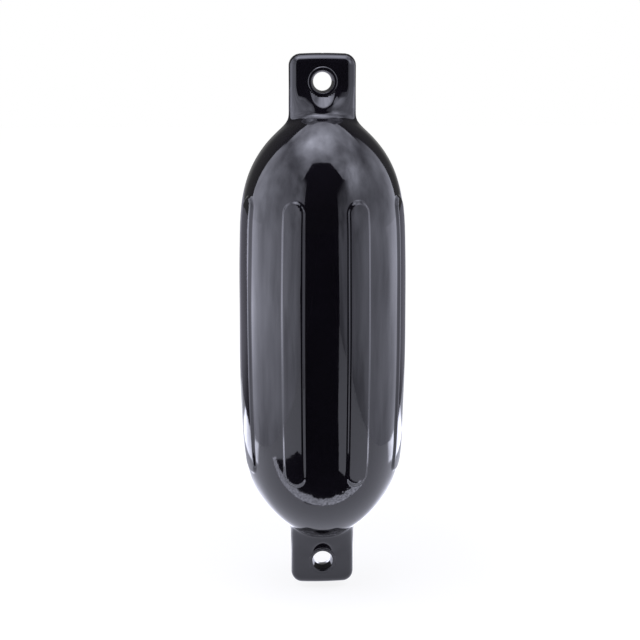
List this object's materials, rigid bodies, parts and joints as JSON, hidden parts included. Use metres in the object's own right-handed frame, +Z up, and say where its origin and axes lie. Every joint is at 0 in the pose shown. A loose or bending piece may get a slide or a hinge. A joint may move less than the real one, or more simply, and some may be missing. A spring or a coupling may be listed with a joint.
{
  "type": "pneumatic fender",
  "caption": "Inflatable twin-eye boat fender: black PVC cylinder with domed ends, raised ribs along its barrel, a flat eye tab at each end and a needle valve.",
  "frame": {"origin": "centre of the upper eye, by which the fender hangs", "axes": "+Z up along the fender, towards the end it hangs by; -Y out of the front faces of both eye tabs; the valve is on the +Y side"},
  "size_m": [0.1668, 0.1668, 0.55],
  "materials": {
    "glossy_pvc": "gloss",
    "valve_rubber": "satin"
  },
  "bodies": {
    "root": {"fender_body": "glossy_pvc", "inflation_valve": "valve_rubber"}
  },
  "joints": []
}
